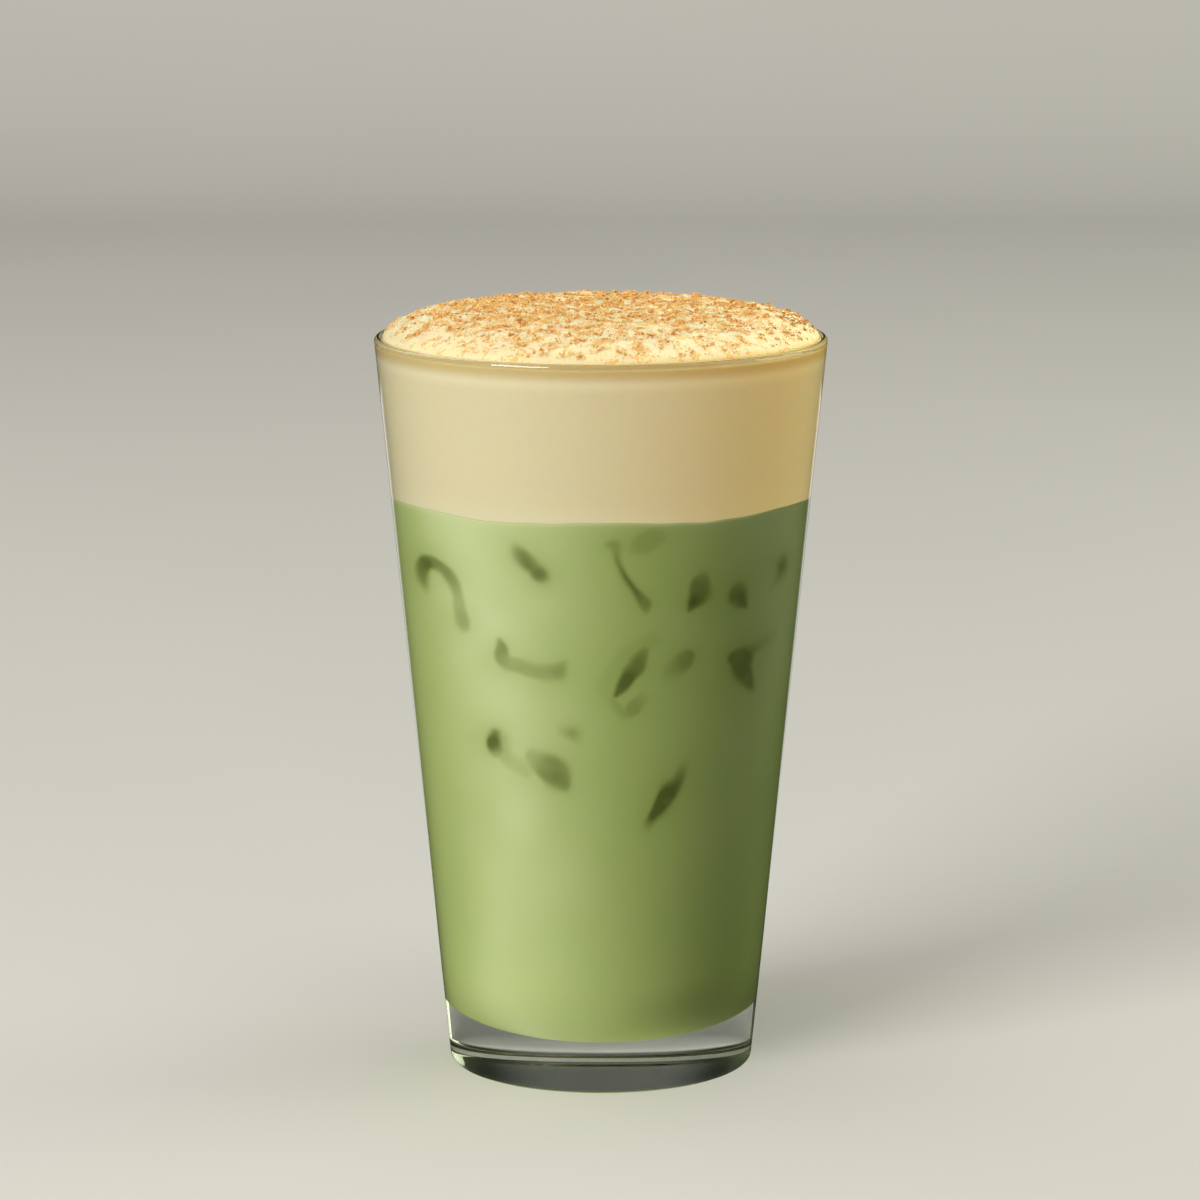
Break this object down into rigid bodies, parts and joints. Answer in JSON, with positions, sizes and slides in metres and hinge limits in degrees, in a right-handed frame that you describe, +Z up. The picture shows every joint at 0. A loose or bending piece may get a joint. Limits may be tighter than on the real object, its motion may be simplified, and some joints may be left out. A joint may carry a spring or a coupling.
{
  "type": "iced matcha latte",
  "caption": "Iced matcha latte in a conical pint glass, filled to the brim and topped with a mound of pale cold foam dusted with brown spice.",
  "frame": {"origin": "middle of the glass's foot, on the table that the glass stands on", "axes": "+Z up along the glass's axis; -Y is the side that faces the viewer, +X is to the viewer's right"},
  "size_m": [0.0888, 0.0888, 0.1521],
  "materials": {
    "clear_glass": "smooth, clear, pressed soda lime glass",
    "matcha": "opaque milky green drink, paler where the milk is thick and darker where ice touches the glass",
    "foam": "dense pale cream foam with tiny bubbles, dusted with orange brown ground spice"
  },
  "bodies": {
    "root": {"glass": "clear_glass", "matcha_drink": "matcha", "cold_foam": "foam"}
  },
  "joints": []
}
